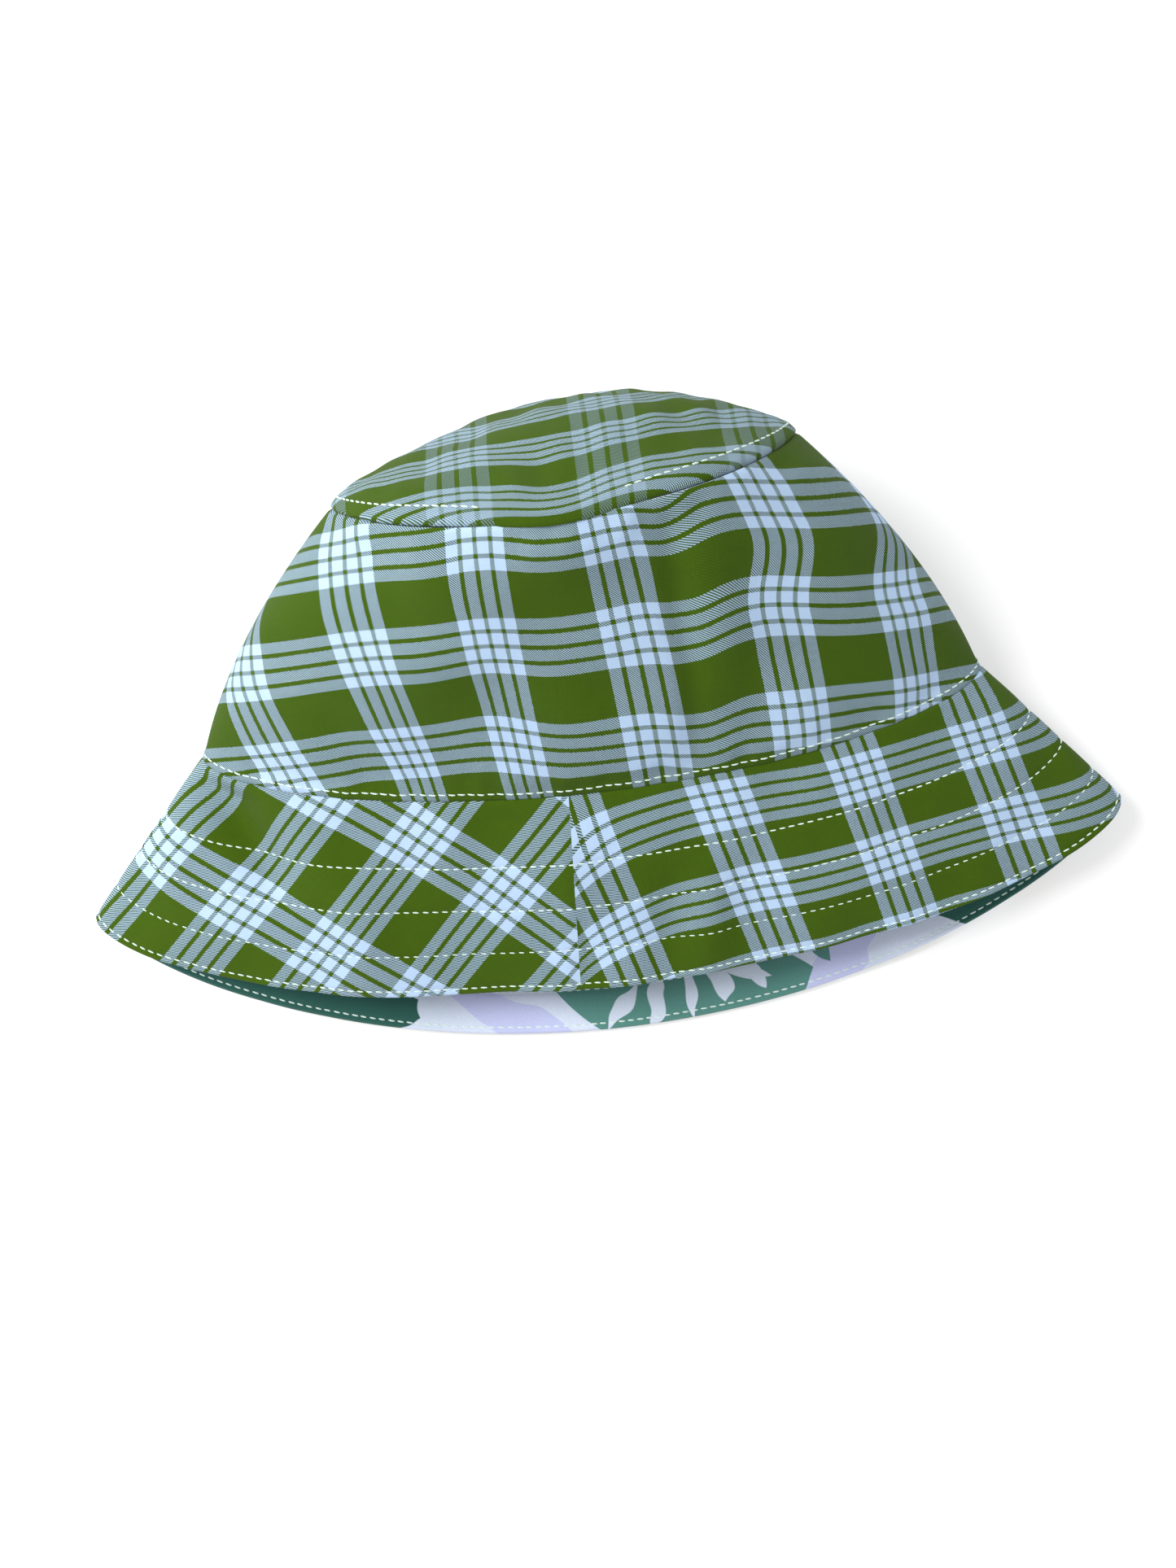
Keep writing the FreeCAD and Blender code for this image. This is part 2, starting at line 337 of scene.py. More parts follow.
def side_ease(x, y):
    """The crown's cloth leans at its left, shifts at its upper right and dips where a crease takes it up."""
    left, upper = ramp(-x, 5, 80), ramp(y, 55, 85)
    across = (0.26 * (y - 50) - 11) * left - 9.0 * ramp(x, 15, 55) * upper
    across = across + 5.0 * ramp(x, 60, 110) * (1 - upper)
    along = 3.5 * hill(x, 31, 9) - 3.0 * hill(x, -30, 16) - 8.5 * left
    along = along - 4.5 * hill(x, 52, 24) * ramp(y, 20, 60)
    return x + across, y + along


def brim_ease_right(x, y):
    """The right cloth of the brim is drawn down beside its front seam and up towards its right corner."""
    down = 10.0 * np.exp(-np.abs(x + 14) / 15) * ramp(-y, 0, 25)
    return x + 8.0 * ramp(x, 60, 130), y + down - 9.0 * ramp(x, 55, 135)


def brim_ease_left(x, y):
    """The left cloth of the brim lies as it was cut."""
    return x, y


# The two repeats of the plaid, and one crossing of its bands, on each piece's flat pattern.
GRAIN_SIDE = ((44.5, 1.0), (-3.0, 35.7), (17.9, 18.5))
GRAIN_BRIM_RIGHT = ((44.7, 7.9), (-7.9, 28.8), (38.0, -7.2))
GRAIN_BRIM_LEFT = ((32.2, 30.8), (-24.4, 24.7), (-59.0, -4.5))
GRAIN_TIP = ((44.5, 0.0), (0.0, 35.7), (13.0, 0.0))


# ---------------------------------------------------------------- meshes


def make_mesh(name, points, faces, uv=None):
    """A mesh object from millimetre points, with the cloth's own places as its UV map."""
    mesh = bpy.data.meshes.new(name)
    mesh.from_pydata((points * 0.001).tolist(), [], faces.tolist())
    if uv is not None:
        layer = mesh.uv_layers.new(name="Cloth")
        corners = np.empty(len(mesh.loops), dtype=np.int32)
        mesh.loops.foreach_get("vertex_index", corners)
        layer.data.foreach_set("uv", uv[corners].astype(np.float32).ravel())
    mesh.polygons.foreach_set("use_smooth", np.ones(len(mesh.polygons), dtype=bool))
    mesh.set_sharp_from_angle(angle=math.radians(SHARP_ANGLE))
    mesh.update()
    obj = bpy.data.objects.new(name, mesh)
    bpy.context.collection.objects.link(obj)
    return obj


def grid_faces(rows, columns, start=0, flip=False):
    """Quads of a grid of rows by columns."""
    i, j = np.meshgrid(np.arange(rows - 1), np.arange(columns - 1), indexing="ij")
    a = start + i * columns + j
    quads = np.stack([a, a + columns, a + columns + 1, a + 1], axis=-1).reshape(-1, 4)
    return quads[:, ::-1] if flip else quads


def rim_faces(rows, columns, offset):
    """Quads that join the edges of two equal grids, the second offset vertices after the first."""
    top = np.arange(columns)
    bottom = (rows - 1) * columns + top
    left = np.arange(rows) * columns
    right = left + columns - 1
    walls = []
    for line, turned in ((top, False), (bottom, True), (left, True), (right, False)):
        quads = np.stack([line[:-1], line[1:], line[1:] + offset, line[:-1] + offset], axis=-1)
        walls.append(quads[:, ::-1] if turned else quads)
    return np.concatenate(walls)


def cloth(name, shape, turns, ways, faces_at, pattern):
    """A cloth with an outer and an inner face, closed all round: a grid of turns by ways for each face.

    faces_at gives the two faces' heights above the hollow, and pattern gives the places on the cloth.
    """
    turn, way = np.meshgrid(turns, ways, indexing="ij")
    outer, inner = (placed(shape, turn, way, height + 0 * way) for height in faces_at(turn, way))
    rows, columns = turn.shape
    count = rows * columns
    points = np.concatenate([outer.reshape(-1, 3), inner.reshape(-1, 3)])
    faces = np.concatenate(
        [
            grid_faces(rows, columns, flip=shape is side),
            grid_faces(rows, columns, start=count, flip=shape is not side),
            rim_faces(rows, columns, count)[:, :: -1 if shape is side else 1],
        ]
    )
    u, v = pattern(turn, way)
    uv = np.tile(np.stack([u, v], axis=-1).reshape(-1, 2), (2, 1))
    return make_mesh(name, points, faces, uv)


def spaced_ways(step_count, fine):
    """Ways from 0 to 1, closer together at both edges."""
    edge = np.linspace(0, fine, 9)
    return np.unique(np.concatenate([edge, np.linspace(fine, 1 - fine, step_count), 1 - edge]))


def stitch_faces():
    """Quads of one stitch: its rings joined one to the next, then two quads over each end."""
    ring, corner = np.meshgrid(np.arange(STITCH_STEPS - 1), np.arange(STITCH_SIDES), indexing="ij")
    here, beside = ring * STITCH_SIDES + corner, ring * STITCH_SIDES + (corner + 1) % STITCH_SIDES
    tube = np.stack([here, beside, beside + STITCH_SIDES, here + STITCH_SIDES], axis=-1).reshape(-1, 4)
    near_end = np.array([[0, 5, 4, 1], [1, 4, 3, 2]])
    far_end = np.array([[0, 1, 4, 5], [1, 2, 3, 4]]) + (STITCH_STEPS - 1) * STITCH_SIDES
    return np.concatenate([tube, near_end, far_end])


def stitches(name, shape, way, first, last, height, inward=False):
    """A row of separate stitches: small capsules laid end to end along a loop, ends sunk in the cloth."""
    fine = np.linspace(first, last, 6001)
    level = np.full_like(fine, way)
    line = placed(shape, fine, level, np.full_like(fine, height))
    length = np.concatenate([[0], np.cumsum(np.linalg.norm(np.diff(line, axis=0), axis=1))])
    starts = np.arange(0.6, length[-1] - STITCH_PITCH, STITCH_PITCH)
    if shape is tip:
        x, z = (np.interp(starts, length, line[:, k]) for k in (0, 2))
        starts = starts[in_lip(x) * (z > 60) < LIP_HIDES]
    random = np.random.default_rng(len(name) + int(way * 1000))
    slack = random.uniform(-STITCH_SLACK, STITCH_SLACK, (len(starts), 2))
    share = np.linspace(0, 1, STITCH_STEPS)
    along = starts[:, None] + slack[:, :1] + share * (STITCH_LENGTH + slack[:, 1:])
    turn = np.interp(along, length, fine)
    centre = np.stack([np.interp(along, length, line[:, k]) for k in range(3)], axis=-1)
    out = normals(shape, turn, np.full_like(turn, way)) * (-1 if inward else 1)
    ahead = np.gradient(centre, axis=1)
    ahead /= np.linalg.norm(ahead, axis=-1, keepdims=True)
    aside = np.cross(ahead, out)
    thick = STITCH_RADIUS * np.maximum(np.sin(math.pi * share), 0.0) ** 0.4
    thick[[0, -1]] = STITCH_RADIUS * 0.25
    rise = -STITCH_RADIUS * 1.2 * (2 * share - 1) ** 4
    tilt = (share - 0.5) * 0.22
    centre = centre + out * rise[:, None] + aside * tilt[:, None]
    angle = np.arange(STITCH_SIDES) * 2 * math.pi / STITCH_SIDES
    ring = aside[:, :, None] * np.cos(angle)[:, None] + out[:, :, None] * np.sin(angle)[:, None] * 0.85
    points = centre[:, :, None] + ring * thick[:, None, None]
    one = stitch_faces()
    faces = (one[None] + np.arange(len(starts))[:, None, None] * STITCH_STEPS * STITCH_SIDES).reshape(-1, 4)
    uv = np.stack([np.repeat(along, STITCH_SIDES), np.tile(angle, len(starts) * STITCH_STEPS)], axis=-1)
    return make_mesh(name, points.reshape(-1, 3), faces[:, ::-1] if inward else faces, uv)


# ---------------------------------------------------------------- node helpers


def linear(red, green, blue):
    """An sRGB colour, 0 to 255, as a linear colour."""
    values = np.array([red, green, blue]) / 255
    values = np.where(values <= 0.04045, values / 12.92, ((values + 0.055) / 1.055) ** 2.4)
    return (*values.tolist(), 1.0)


class Tree:
    """Short names for building a material's nodes."""

    def __init__(self, name):
        self.material = bpy.data.materials.new(name)
        self.material.use_nodes = True
        self.nodes, self.links = self.material.node_tree.nodes, self.material.node_tree.links
        self.shader = self.nodes["Principled BSDF"]

    def add(self, kind, **settings):
        """A new node with its settings."""
        node = self.nodes.new(kind)
        for key, value in settings.items():
            setattr(node, key, value)
        return node

    def put(self, socket, value):
        """Joins a socket to another one, or sets its value."""
        if isinstance(value, bpy.types.NodeSocket):
            self.links.new(value, socket)
        else:
            socket.default_value = value

    def math(self, operation, *values):
        """A sum of one or two numbers."""
        node = self.add("ShaderNodeMath", operation=operation)
        for socket, value in zip(node.inputs, values):
            self.put(socket, value)
        return node.outputs[0]

    def mix(self, share, low, high):
        """The low colour at share 0 and the high one at 1."""
        node = self.add("ShaderNodeMix", data_type="RGBA")
        self.put(node.inputs["Factor"], share)
        self.put(node.inputs["A"], low)
        self.put(node.inputs["B"], high)
        return node.outputs["Result"]

    def step(self, value, low, high):
        """0 below low, 1 above high, smooth between."""
        node = self.add("ShaderNodeMapRange", interpolation_type="SMOOTHSTEP")
        for name, number in (("Value", value), ("From Min", low), ("From Max", high)):
            self.put(node.inputs[name], number)
        return node.outputs["Result"]

    def cloth_place(self):
        """The place on the cloth, in millimetres: as a vector, and its two parts."""
        place = self.add("ShaderNodeUVMap", uv_map="Cloth")
        split = self.add("ShaderNodeSeparateXYZ")
        self.links.new(place.outputs["UV"], split.inputs["Vector"])
        return place.outputs["UV"], split.outputs["X"], split.outputs["Y"]

    def noise(self, vector, scale, detail, stretch=(1, 1, 1)):
        """Smooth noise from 0 to 1, drawn out by the stretch."""
        mapping = self.add("ShaderNodeMapping")
        self.put(mapping.inputs["Vector"], vector)
        mapping.inputs["Scale"].default_value = stretch
        node = self.add("ShaderNodeTexNoise")
        self.put(node.inputs["Vector"], mapping.outputs["Vector"])
        node.inputs["Scale"].default_value = scale
        node.inputs["Detail"].default_value = detail
        return node.outputs["Fac"]

    def finish(self, colour, height, depth, roughness, sheen):
        """Sets the shader, with bumps of the given depth in metres where the height is 1."""
        self.put(self.shader.inputs["Base Color"], colour)
        self.put(self.shader.inputs["Roughness"], roughness)
        self.put(self.shader.inputs["Sheen Weight"], sheen)
        self.put(self.shader.inputs["Sheen Roughness"], 0.5)
        self.put(self.shader.inputs["Specular IOR Level"], 0.12)
        bump = self.add("ShaderNodeBump")
        self.put(bump.inputs["Height"], height)
        self.put(bump.inputs["Strength"], 0.7)
        self.put(bump.inputs["Distance"], depth)
        self.put(self.shader.inputs["Normal"], bump.outputs["Normal"])
        return self.material


def twill(tree, u, v, thread):
    """1 where a warp thread lies over a weft thread, and the cloth's height: it steps one thread a row."""
    column = tree.math("FLOOR", tree.math("DIVIDE", u, thread))
    row = tree.math("FLOOR", tree.math("DIVIDE", v, thread))
    step = tree.math("FLOORED_MODULO", tree.math("ADD", column, row), 4.0)
    over = tree.math("LESS_THAN", step, 1.5)
    across = tree.math("PINGPONG", tree.math("DIVIDE", u, thread), 0.5)
    along = tree.math("PINGPONG", tree.math("DIVIDE", v, thread), 0.5)
    warp = tree.math("MULTIPLY", over, across)
    weft = tree.math("MULTIPLY", tree.math("SUBTRACT", 1.0, over), along)
    return over, tree.math("MULTIPLY", tree.math("ADD", warp, weft), 2.0)


def plaid_band(tree, place, repeat, wobble):
    """1 on the pale bars of a band: four bars parted by three thin lines, centred on each repeat."""
    shifted = tree.math("ADD", place, wobble)
    turn = tree.math("FRACT", tree.math("ADD", tree.math("DIVIDE", shifted, repeat), 0.5))
    away = tree.math("ABSOLUTE", tree.math("MULTIPLY", tree.math("SUBTRACT", turn, 0.5), repeat))
    pitch = BAR + LINE
    inside = tree.math("LESS_THAN", away, 2 * BAR + 1.5 * LINE)
    nearest = tree.math("PINGPONG", away, pitch)
    near_line = tree.math("MINIMUM", nearest, tree.math("ABSOLUTE", tree.math("SUBTRACT", away, pitch)))
    clear = tree.math("GREATER_THAN", near_line, LINE / 2)
    return tree.math("MULTIPLY", inside, clear)


def plaid_cloth(name, warp_strength):
    """Moss green twill with bands of pale blue-white bars both ways: the weave decides which thread shows,
    and painted shade darkens the hollows between the threads, most where a pale thread crosses a green one.
    """
    tree = Tree(name)
    vector, u, v = tree.cloth_place()
    jitter = tree.math("MULTIPLY", tree.math("SUBTRACT", tree.noise(vector, 1.7, 1.0), 0.5), 0.5)
    warp_pale = tree.math("MULTIPLY", plaid_band(tree, u, REPEAT_U, jitter), warp_strength)
    weft_pale = plaid_band(tree, v, REPEAT_V, jitter)
    over, height = twill(tree, u, v, PLAID_THREAD)
    slub = tree.noise(vector, 1.0, 2.0, stretch=(2.6, 0.12, 1))
    slub_across = tree.noise(vector, 1.0, 2.0, stretch=(0.12, 2.6, 1))
    green = tree.mix(slub, linear(56, 83, 0), linear(77, 107, 6))
    green_weft = tree.mix(slub_across, linear(49, 76, 0), linear(69, 98, 4))
    pale = tree.mix(slub, linear(180, 207, 242), linear(202, 225, 252))
    pale_weft = tree.mix(slub_across, linear(176, 204, 238), linear(198, 222, 250))
    warp = tree.mix(warp_pale, green, pale)
    weft = tree.mix(weft_pale, green_weft, pale_weft)
    colour = tree.mix(over, weft, warp)
    # Painted shade: the hollows between the threads are multiplied towards a dark grey-green, strongly where
    # warp and weft differ in colour and lightly elsewhere.
    hollow = tree.step(height, 0.0, 0.55)
    painted_hollow_shade = tree.mix(hollow, linear(70, 100, 84), (1.0, 1.0, 1.0, 1.0))
    mixed = tree.math("ABSOLUTE", tree.math("SUBTRACT", warp_pale, weft_pale))
    product = tree.add("ShaderNodeMix", data_type="RGBA", blend_type="MULTIPLY")
    tree.put(product.inputs["Factor"], tree.math("ADD", 0.3, tree.math("MULTIPLY", mixed, 0.7)))
    tree.put(product.inputs["A"], colour)
    tree.put(product.inputs["B"], painted_hollow_shade)
    worn = tree.noise(vector, 0.035, 3.0)
    tone = tree.add("ShaderNodeHueSaturation")
    tree.put(tone.inputs["Value"], tree.math("ADD", 0.93, tree.math("MULTIPLY", worn, 0.16)))
    tree.put(tone.inputs["Color"], product.outputs["Result"])
    rough = tree.math("ADD", 0.78, tree.math("MULTIPLY", slub, 0.16))
    return tree.finish(tone.outputs["Color"], height, 0.00008, rough, 0.05)


def leaf(tree, place, leaf_at, angle, length, width):
    """1 inside one pointed leaf: a lens about a middle line of the given length."""
    away = tree.add("ShaderNodeVectorMath", operation="SUBTRACT")
    tree.put(away.inputs[0], place)
    away.inputs[1].default_value = (*leaf_at, 0)
    turned = tree.add("ShaderNodeVectorRotate", rotation_type="Z_AXIS")
    tree.put(turned.inputs["Vector"], away.outputs["Vector"])
    turned.inputs["Angle"].default_value = -math.radians(angle)
    axes = tree.add("ShaderNodeSeparateXYZ")
    tree.put(axes.inputs["Vector"], turned.outputs["Vector"])
    along = tree.math("DIVIDE", axes.outputs["X"], length / 2)
    edge = tree.math("MULTIPLY", tree.math("SUBTRACT", 1.0, tree.math("MULTIPLY", along, along)), width / 2)
    return tree.step(tree.math("SUBTRACT", edge, tree.math("ABSOLUTE", axes.outputs["Y"])), -0.2, 0.2)


# One repeat of the printed lining, in millimetres: for each leaf its middle, heading, length and width.
PRINT_REPEAT = (384.0, 150.0)
LILAC_LEAVES = (
    ((154, 60), 20, 46, 13), ((262, 62), 165, 40, 14), ((60, 110), 40, 70, 22), ((330, 120), 150, 80, 24),
)
TEAL_LEAVES = (
    ((212, 56), 4, 84, 46), ((258, 48), 70, 30, 10), ((240, 60), 100, 26, 9), ((140, 110), 15, 110, 40),
    ((300, 100), 120, 90, 36), ((40, 20), 80, 70, 30), ((220, 132), 170, 84, 28), ((350, 60), 60, 60, 24),
)
DARK_LEAVES = (
    ((74, 56), 2, 116, 64), ((332, 56), 20, 90, 50), ((170, 20), 10, 70, 24), ((100, 120), 110, 80, 34),
    ((260, 110), 60, 60, 22),
)
CUT_OUTS = tuple(((192 + 10 * i, 60 - 2 * i), 118 - 14 * i, 20, 5) for i in range(5)) + (
    ((128, 58), 70, 26, 8), ((118, 50), 40, 22, 5), ((228, 50), 30, 24, 5), ((296, 58), 130, 18, 4),
    ((60, 100), 150, 28, 6), ((310, 96), 170, 24, 5),
)


def leaf_cloth():
    """White cotton printed with large overlapping leaves in teal, dark teal and lilac, and pointed gaps."""
    tree = Tree("leaf_print_cotton")
    vector, u, v = tree.cloth_place()
    sway = tree.math("MULTIPLY", tree.math("SUBTRACT", tree.noise(vector, 0.03, 2.0), 0.5), 26.0)
    join = tree.add("ShaderNodeCombineXYZ")
    for axis, place, repeat in (("X", u, PRINT_REPEAT[0]), ("Y", v, PRINT_REPEAT[1])):
        tree.put(join.inputs[axis], tree.math("FLOORED_MODULO", tree.math("ADD", place, sway), repeat))
    colour = linear(216, 226, 246)
    for leaves, shade in (
        (LILAC_LEAVES, linear(198, 204, 242)),
        (TEAL_LEAVES, linear(88, 140, 132)),
        (DARK_LEAVES, linear(44, 92, 84)),
        (CUT_OUTS, linear(214, 226, 244)),
    ):
        for leaf_at, angle, length, width in leaves:
            inside = leaf(tree, join.outputs["Vector"], leaf_at, angle, length, width)
            colour = tree.mix(inside, colour, shade)
    over, height = twill(tree, u, v, LINING_THREAD)
    grain = tree.noise(vector, 1.3, 3.0)
    tone = tree.add("ShaderNodeHueSaturation")
    tree.put(tone.inputs["Value"], tree.math("ADD", 0.86, tree.math("MULTIPLY", grain, 0.2)))
    tree.put(tone.inputs["Color"], colour)
    return tree.finish(tone.outputs["Color"], height, 0.00006, 0.86, 0.2)


def interfacing_cloth():
    """Off-white pressed fibres."""
    tree = Tree("pressed_interfacing")
    vector, _, _ = tree.cloth_place()
    fibres = tree.noise(vector, 1.6, 6.0, stretch=(1, 0.4, 1))
    colour = tree.mix(fibres, linear(205, 204, 196), linear(240, 240, 234))
    return tree.finish(colour, fibres, 0.0001, 0.95, 0.1)


def sewing_thread():
    """Pale mint thread with a slanted twist, and painted shade darkening the grooves of the twist."""
    tree = Tree("pale_mint_thread")
    vector, along, angle = tree.cloth_place()
    twist = tree.math("SINE", tree.math("ADD", tree.math("MULTIPLY", along, 9.0), angle))
    tone = tree.step(twist, -1.0, 1.0)
    shade = tree.noise(vector, 0.2, 2.0)
    # Painted shade: the thread is darker in the grooves of its twist, where the bump is low.
    colour = tree.mix(tone, linear(186, 208, 200), linear(226, 242, 234))
    colour = tree.mix(tree.math("MULTIPLY", shade, 0.3), colour, linear(236, 246, 244))
    return tree.finish(colour, tone, 0.00006, 0.6, 0.3)


# ---------------------------------------------------------------- the hat


def dress(piece, material, nodes, bends=False):
    """Gives a piece its material and hides the CAD nodes it stands for; a piece that bends has its placement
    baked into its mesh, and any other is attached to the hat.
    """
    piece.data.materials.append(material)
    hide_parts(*nodes)
    if bends:
        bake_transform(piece)
    else:
        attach(piece, "hat")


def brim_face_heights(under, top, sinks, sign):
    """Heights of a brim cloth's two faces: it sinks at each stitch row and turns in at the edge."""

    def heights(turn, way):
        sink = sum(hill(way, row, 0.9 / BRIM_WIDTH) for row in BRIM_ROWS) * sinks
        between = [(a + b) / 2 for a, b in zip((0.08,) + BRIM_ROWS, BRIM_ROWS)]
        puff = sum(hill(way, middle, 7.5 / BRIM_WIDTH) for middle in between) * 0.25
        change = (puff - sink) * sign
        turned = np.sqrt(np.clip(1 - ((way - 0.98) / 0.02).clip(0, 1) ** 2, 0, 1))
        tucked = np.sqrt(np.clip(1 - ((0.03 - way) / 0.03).clip(0, 1) ** 2, 0, 1))
        closing = turned * (0.35 + 0.65 * tucked)
        return tuple(BRIM_EDGE_HEIGHT + (face + change - BRIM_EDGE_HEIGHT) * closing for face in (top, under))

    return heights


def crown_face_heights(under, top, proud):
    """Heights of a crown cloth's two faces: it stands proud beside the crown seam and rolls under there."""

    def heights(turn, way):
        folded = hill(way, 0.022, 0.02) * proud
        rolled = np.sqrt(np.clip(1 - ((0.012 - way) / 0.012).clip(0, 1) ** 2, 0, 1))
        ducked = ramp(way, 0.985, 1.0) * 0.5 * (proud > 0)
        shift = folded - ducked - CROWN_EDGE_HEIGHT
        outer, inner = (CROWN_EDGE_HEIGHT + (face + shift) * rolled for face in (top, under))
        return outer, np.minimum(inner, outer - THINNEST)

    return heights


def tip_face_heights(under, top, proud):
    """Heights of a tip cloth's two faces: it stands proud inside the tip seam and rolls under at it."""

    def heights(turn, way):
        folded = hill(way, 0.97, 0.025) * proud * 0.6
        rolled = np.sqrt(np.clip(1 - ((way - 0.992) / 0.008).clip(0, 1) ** 2, 0, 1))
        outer, inner = (TIP_EDGE_HEIGHT + (face + folded - TIP_EDGE_HEIGHT) * rolled for face in (top, under))
        return outer, np.minimum(inner, outer - THINNEST)

    return heights


def ring_pattern(shape, width, grain, ease):
    """The cloth places of a band: its flat pattern, eased as the real cloth is, along the plaid's repeats."""

    def pattern(turn, way):
        return grained(*ease(*band_pattern(shape, turn, way, width)), grain)

    return pattern


def tip_pattern(turn, way):
    """Flat place on the tip: its front is drawn together towards the seam, where the cloth is gathered."""
    depth = np.sin(np.radians(turn))
    front = 3.4 * way**1.77
    back = 1.0 * way + 0.8 * way**2
    along = np.where(depth > 0, -depth * front, -depth * back) - 2.0 * way**2.2 * (1 - np.abs(depth))
    return grained(loop(turn, RIM)[..., 0] * way * 1.02, along * REPEAT_V, GRAIN_TIP)


def build_brim(materials):
    """The brim's three cloths, each in two halves divided at the side folds, and the eight stitch rows."""
    outer = brim_face_heights(BRIM_UNDER, BRIM_TOP, ROW_SINK, 1)
    stiffener = brim_face_heights(INTERFACING_FACE, INTERFACING_TOP, 0, 1)
    lining = brim_face_heights(LINING_FACE, LINING_TOP, LINING_ROW_SINK, -1)
    cloths = (
        ("outer_brim", OUTER_BACK_SEAM, outer, "outer_cloth", "plaid"),
        ("brim_interfacing", OUTER_BACK_SEAM, stiffener, "interfacing", "interfacing"),
        ("lining_brim", LINING_BACK_SEAM, lining, "lining_cloth", "leaf"),
    )
    right, left = (GRAIN_BRIM_RIGHT, brim_ease_right), (GRAIN_BRIM_LEFT, brim_ease_left)
    ways = spaced_ways(96, 0.035)
    for name, back_seam, heights, slot, material in cloths:
        stretches = (
            ("front_right", 0, BRIM_FRONT_SEAM, right, ("_front_right", "_right")),
            ("front_left", BRIM_FRONT_SEAM, 180, left, ("_front_left", "_left")),
            ("back_right", back_seam - 360, 0, right, ("_right",)),
            ("back_left", 180, back_seam, left, ("_left",)),
        )
        for stretch, first, last, grain_and_ease, nodes in stretches:
            turns = even_turns(brim, 0.8, first, last, BRIM_STEP)
            pattern = ring_pattern(brim, BRIM_WIDTH, *grain_and_ease)
            if name == "lining_brim":
                pattern = edge_pattern
            piece = cloth(f"{name}_cloth_{stretch}", brim, turns, ways, heights, pattern)
            nodes = [name + node for node in nodes]
            dress(piece, materials[material], nodes, bends=stretch.startswith("front"))
    for face, height, inward in (("outer", OUTER_ROW_HEIGHT, False), ("lining", LINING_ROW_HEIGHT, True)):
        for number, way in enumerate(BRIM_ROWS, start=1):
            stays = f"{face}_brim_stitch_row_{number}"
            turns_up = f"{face}_brim_front_stitch_row_{number}"
            row = stitches(f"{face}_brim_stitches_front_{number}", brim, way, 0, 180, height, inward)
            dress(row, materials["thread"], (turns_up, stays), bends=True)
            row = stitches(f"{face}_brim_stitches_back_{number}", brim, way, 180, 360, height, inward)
            dress(row, materials["thread"], (stays,))


def build_crown(materials):
    """The crown's side bands and tips in both cloths, and their two rows of topstitching."""
    ways = spaced_ways(110, 0.05)
    cloths = (
        ("outer", CROWN_UNDER, CROWN_TOP, SEAM_PROUD, "outer_cloth", "plaid"),
        ("lining", LINING_FACE, LINING_TOP, 0.0, "lining_cloth", "leaf"),
    )
    for name, under, top, proud, slot, material in cloths:
        for half, first, last in (
            ("front", -SIDE_SEAM, 180 + SIDE_SEAM),
            ("back", 180 + SIDE_SEAM, 360 - SIDE_SEAM),
        ):
            turns = np.linspace(first, last, SIDE_BACK_TURNS)
            if half == "front":
                turns = even_turns(side, 0.3, first, last, SIDE_STEP)
            heights = crown_face_heights(under, top, proud)
            pattern = ring_pattern(side, SIDE_WIDTH, GRAIN_SIDE, side_ease)
            piece = cloth(f"{name}_side_cloth_{half}", side, turns, ways, heights, pattern)
            dress(piece, materials[material], (f"{name}_side_{half}",))
        turns = even_turns(tip, 0.99, -90, 270, TIP_STEP)
        tip_ways = np.unique(np.concatenate([np.linspace(0.004, 0.92, 62), np.linspace(0.92, 1.0, 20)]))
        heights = tip_face_heights(under, top, proud)
        piece = cloth(f"{name}_tip_cloth", tip, turns, tip_ways, heights, tip_pattern)
        dress(piece, materials["tip_plaid" if name == "outer" else material], (f"{name}_tip",))
    way = CROWN_TOPSTITCH / SIDE_WIDTH
    row = stitches("crown_seam_stitches", side, way, -89.9, 269.9, CROWN_ROW_HEIGHT)
    dress(row, materials["thread"], ("crown_seam_topstitch",))
    way = 1 - TIP_TOPSTITCH / RIM[0]
    row = stitches("tip_seam_stitches", tip, way, -89.9, 269.9, TIP_ROW_HEIGHT)
    dress(row, materials["thread"], ("tip_seam_topstitch",))


TABLE_HALF_WIDTH = 3000.0
TABLE_GREY, TABLE_PALE, TABLE_GLOW = (0.6, 0.6, 0.6, 1), (0.62, 0.62, 0.62, 1), 0.42


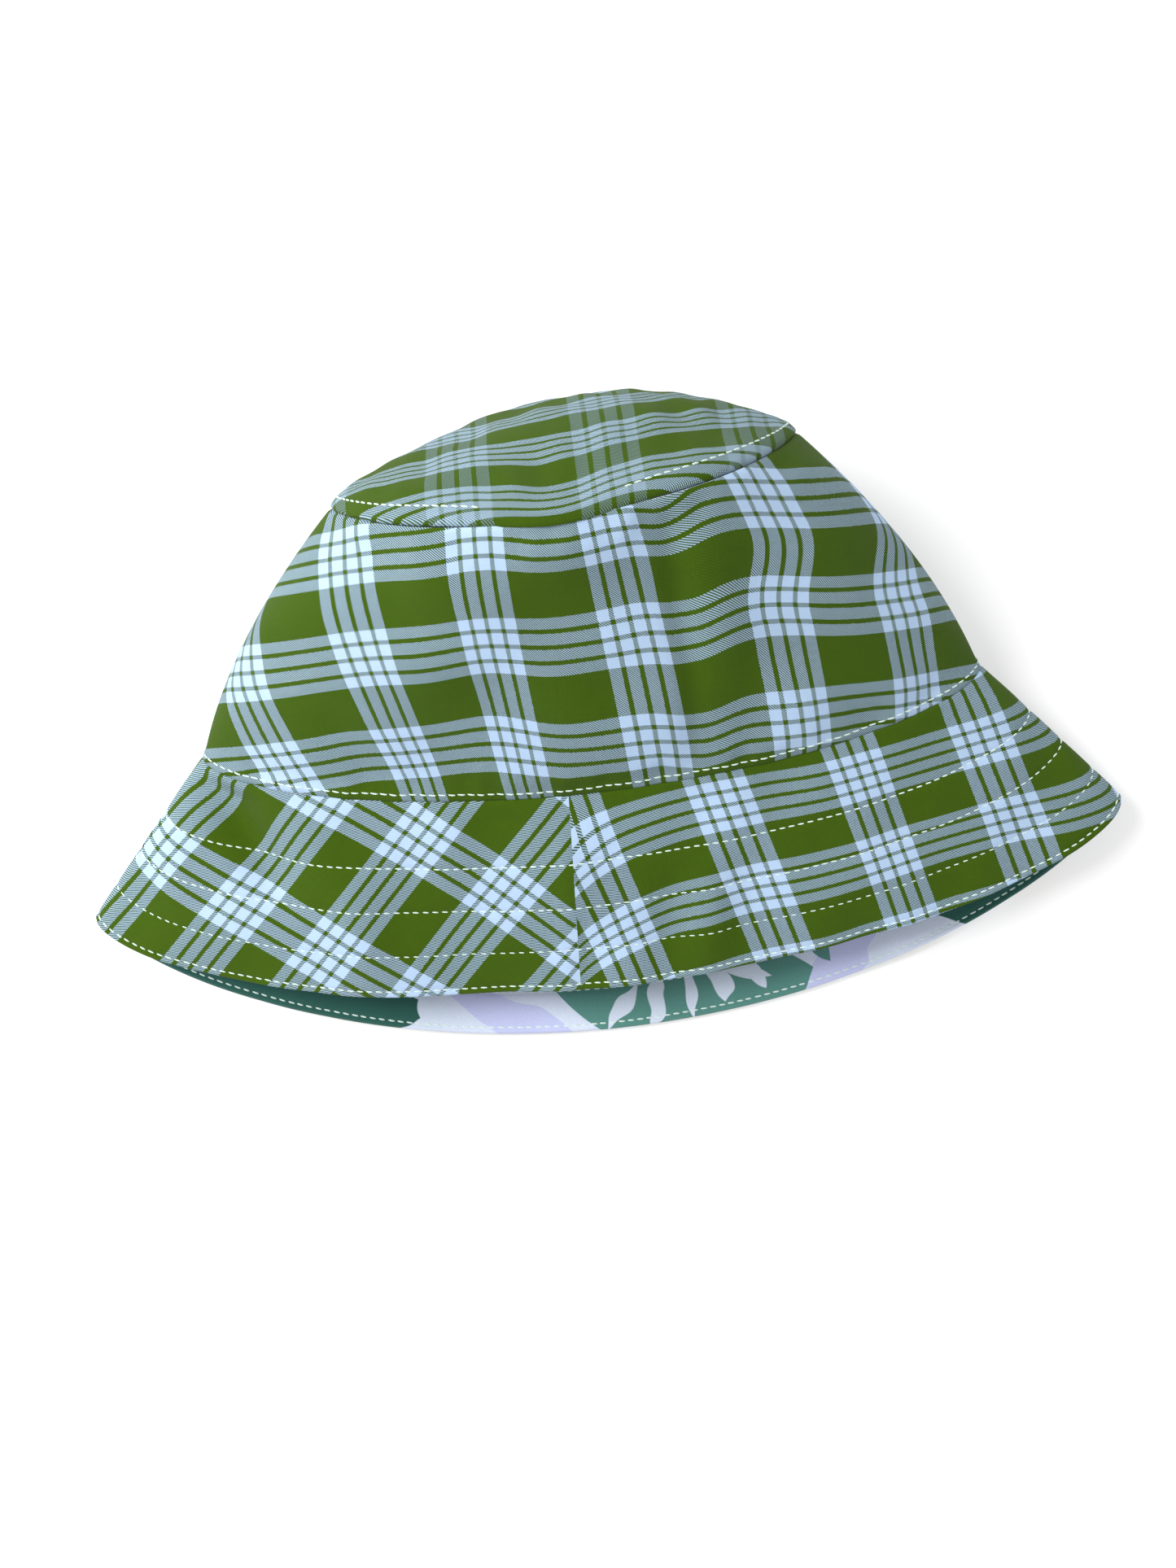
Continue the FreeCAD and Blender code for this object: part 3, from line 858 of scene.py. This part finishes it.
def build_stage():
    """A white table top."""
    tree = Tree("white_table")
    place = tree.add("ShaderNodeTexCoord")
    grain = tree.noise(place.outputs["Object"], 900.0, 2.0)
    tree.put(tree.shader.inputs["Base Color"], tree.mix(grain, TABLE_GREY, TABLE_PALE))
    tree.put(tree.shader.inputs["Roughness"], 0.9)
    tree.put(tree.shader.inputs["Emission Color"], (1.0, 1.0, 1.0, 1.0))
    tree.put(tree.shader.inputs["Emission Strength"], TABLE_GLOW)
    size = TABLE_HALF_WIDTH
    corners = np.array([[-size, -size, 0], [size, -size, 0], [size, size, 0], [-size, size, 0]])
    floor = make_mesh("table_top", corners, np.array([[0, 1, 2, 3]]))
    floor.data.materials.append(tree.material)


LIGHT_PLACE = (-0.85, 0.45, 1.0)
LIGHT_WIDTH, LIGHT_POWER, SURROUND_STRENGTH = 0.7, 19.0, 0.74


def build_light():
    """One soft round light at the upper left, turned to the middle of the hat, and an even pale surround."""
    world = bpy.data.worlds.new("pale_surround")
    bpy.context.scene.world = world
    world.use_nodes = True
    surround = world.node_tree.nodes["Background"]
    surround.inputs["Color"].default_value = (1.0, 1.0, 0.99, 1)
    surround.inputs["Strength"].default_value = SURROUND_STRENGTH
    light = bpy.data.lights.new("key", "AREA")
    light.shape, light.size, light.energy = "DISK", LIGHT_WIDTH, LIGHT_POWER
    key = bpy.data.objects.new("key", light)
    key.location = LIGHT_PLACE
    x, y, z = LIGHT_PLACE
    key.rotation_euler = (math.acos(z / math.hypot(x, y, z)), 0, math.atan2(-y, -x) - math.pi / 2)
    bpy.context.collection.objects.link(key)
    bpy.context.scene.view_settings.view_transform = "Standard"


CAMERA_HEIGHT = 600.0
CAMERA_AIM = (-3.9, 26.7)
CAMERA_TURN = -6.74
LENS, SENSOR_WIDTH = 40.8, 36.0


def build_camera():
    """Straight above the hat, turned a little, looking down."""
    camera = bpy.data.objects.new("camera", bpy.data.cameras.new("camera"))
    camera.data.lens, camera.data.sensor_width = LENS, SENSOR_WIDTH
    camera.location = (CAMERA_AIM[0] * 0.001, (CAMERA_AIM[1] + SHIFT_Y) * 0.001, CAMERA_HEIGHT * 0.001)
    camera.rotation_euler = (0, 0, math.radians(CAMERA_TURN))
    bpy.context.collection.objects.link(camera)
    bpy.context.scene.camera = camera


def main():
    """Builds the whole scene."""
    build_camera()
    build_light()
    build_stage()
    materials = {
        "plaid": plaid_cloth("plaid_cotton_twill", 1.0),
        "tip_plaid": plaid_cloth("plaid_cotton_twill_on_tip", 0.28),
        "leaf": leaf_cloth(),
        "interfacing": interfacing_cloth(),
        "thread": sewing_thread(),
    }
    build_brim(materials)
    build_crown(materials)


main()
